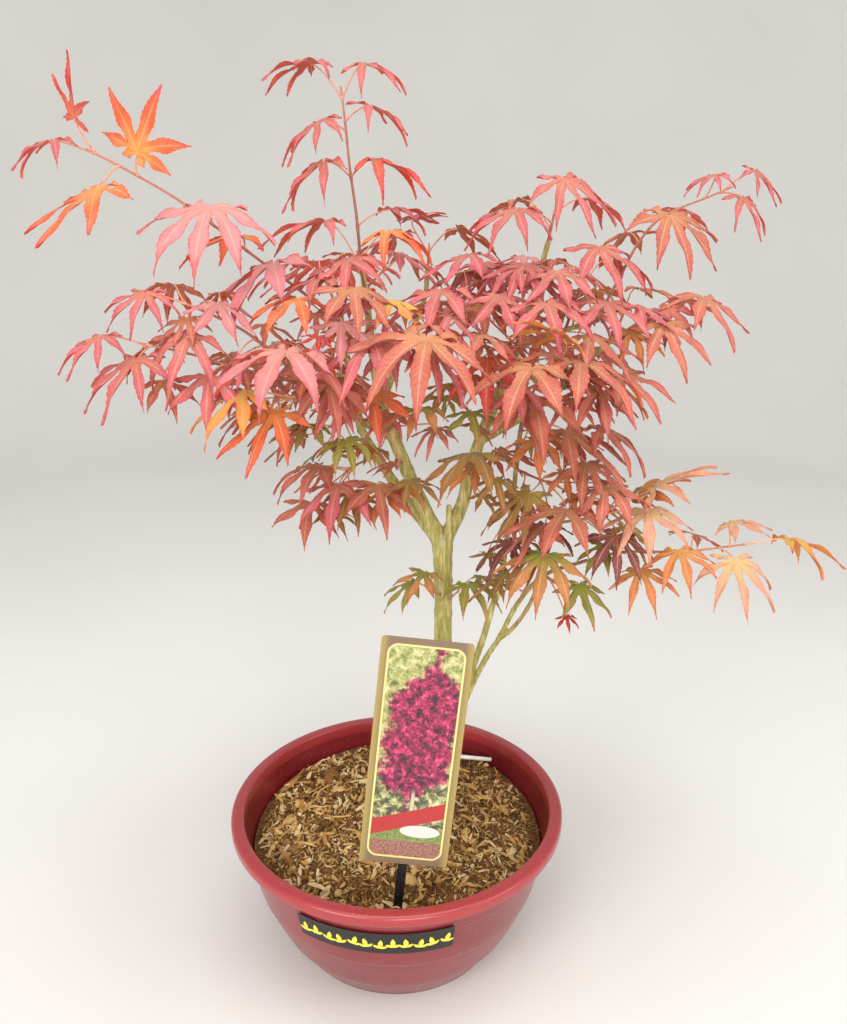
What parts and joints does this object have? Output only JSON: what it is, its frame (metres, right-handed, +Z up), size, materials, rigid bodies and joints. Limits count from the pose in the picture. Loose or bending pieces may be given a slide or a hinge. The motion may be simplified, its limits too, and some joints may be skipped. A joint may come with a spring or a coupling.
{
  "type": "potted dwarf red maple tree",
  "caption": "Young red-leaved maple with a forked trunk and spreading leafy shoots, in a round plastic bowl of bark soil with a picture card on a stake.",
  "frame": {"origin": "centre of the bowl's flat base, on the surface it stands on", "axes": "+Z up along the trunk, +X to the right when facing the picture card, -Y towards the viewer the card faces"},
  "size_m": [0.44, 0.2836, 0.5446],
  "materials": {
    "pot_red": "satin moulded plastic with a glossy lip",
    "soil_brown": "loose bark chips and fibres",
    "bark": "smooth olive bark with pale streaks",
    "leaf_pink": "soft sheen",
    "leaf_coral": "soft sheen",
    "leaf_olive": "soft sheen",
    "card_print": "printed card with a satin coat",
    "black_plastic": "matte",
    "white_plastic": "matte"
  },
  "bodies": {
    "root": {"pot": "pot_red", "soil": "soil_brown", "trunk_and_branches": "bark", "label_card": "card_print", "label_stake": "black_plastic", "pot_sticker": "black_plastic", "white_stick": "white_plastic", "shoot_crown": "leaf_pink", "shoot_left_whip": "leaf_pink", "shoot_left_middle": "leaf_coral", "shoot_left_tip": "leaf_coral", "shoot_left_front": "leaf_coral", "shoot_left_low": "leaf_coral", "shoot_left_top": "leaf_coral", "shoot_left_green": "leaf_coral", "shoot_inner_left": "leaf_coral", "shoot_low_left": "leaf_coral", "shoot_low_inner": "leaf_coral", "shoot_front": "leaf_coral", "shoot_front_small": "leaf_pink", "shoot_centre": "leaf_coral", "shoot_inner_green": "leaf_coral", "shoot_olive": "leaf_coral", "shoot_trunk_left": "leaf_olive", "shoot_trunk_right": "leaf_olive", "shoot_right_high": "leaf_pink", "shoot_right_top": "leaf_pink", "shoot_right_crown": "leaf_pink", "shoot_right_whip": "leaf_pink", "shoot_right_middle": "leaf_coral", "shoot_right_back": "leaf_pink", "shoot_golden": "leaf_coral", "shoot_right_front": "leaf_coral", "shoot_low_right": "leaf_coral", "shoot_purple": "leaf_olive", "shoot_orange": "leaf_olive", "shoot_green_tip": "leaf_olive", "shoot_cream": "leaf_olive", "shoot_low_whip": "leaf_olive", "shoot_crown_foot": "leaf_pink", "shoot_top_front": "leaf_pink", "shoot_centre_top": "leaf_pink", "shoot_crown_side": "leaf_pink", "shoot_middle_top": "leaf_pink", "shoot_middle_front": "leaf_coral", "shoot_left_inner": "leaf_coral", "shoot_right_inner": "leaf_coral", "shoot_right_low_inner": "leaf_coral", "shoot_right_upper_front": "leaf_pink", "shoot_back_middle_tip": "leaf_pink", "shoot_back_middle_side": "leaf_pink", "shoot_rear_tip": "leaf_pink", "shoot_rear_side": "leaf_coral", "shoot_back_left_tip": "leaf_pink", "shoot_back_left_low": "leaf_coral", "shoot_back_right_tip": "leaf_pink", "shoot_back_right_low": "leaf_coral", "shoot_back_right_high": "leaf_pink"}
  },
  "joints": []
}
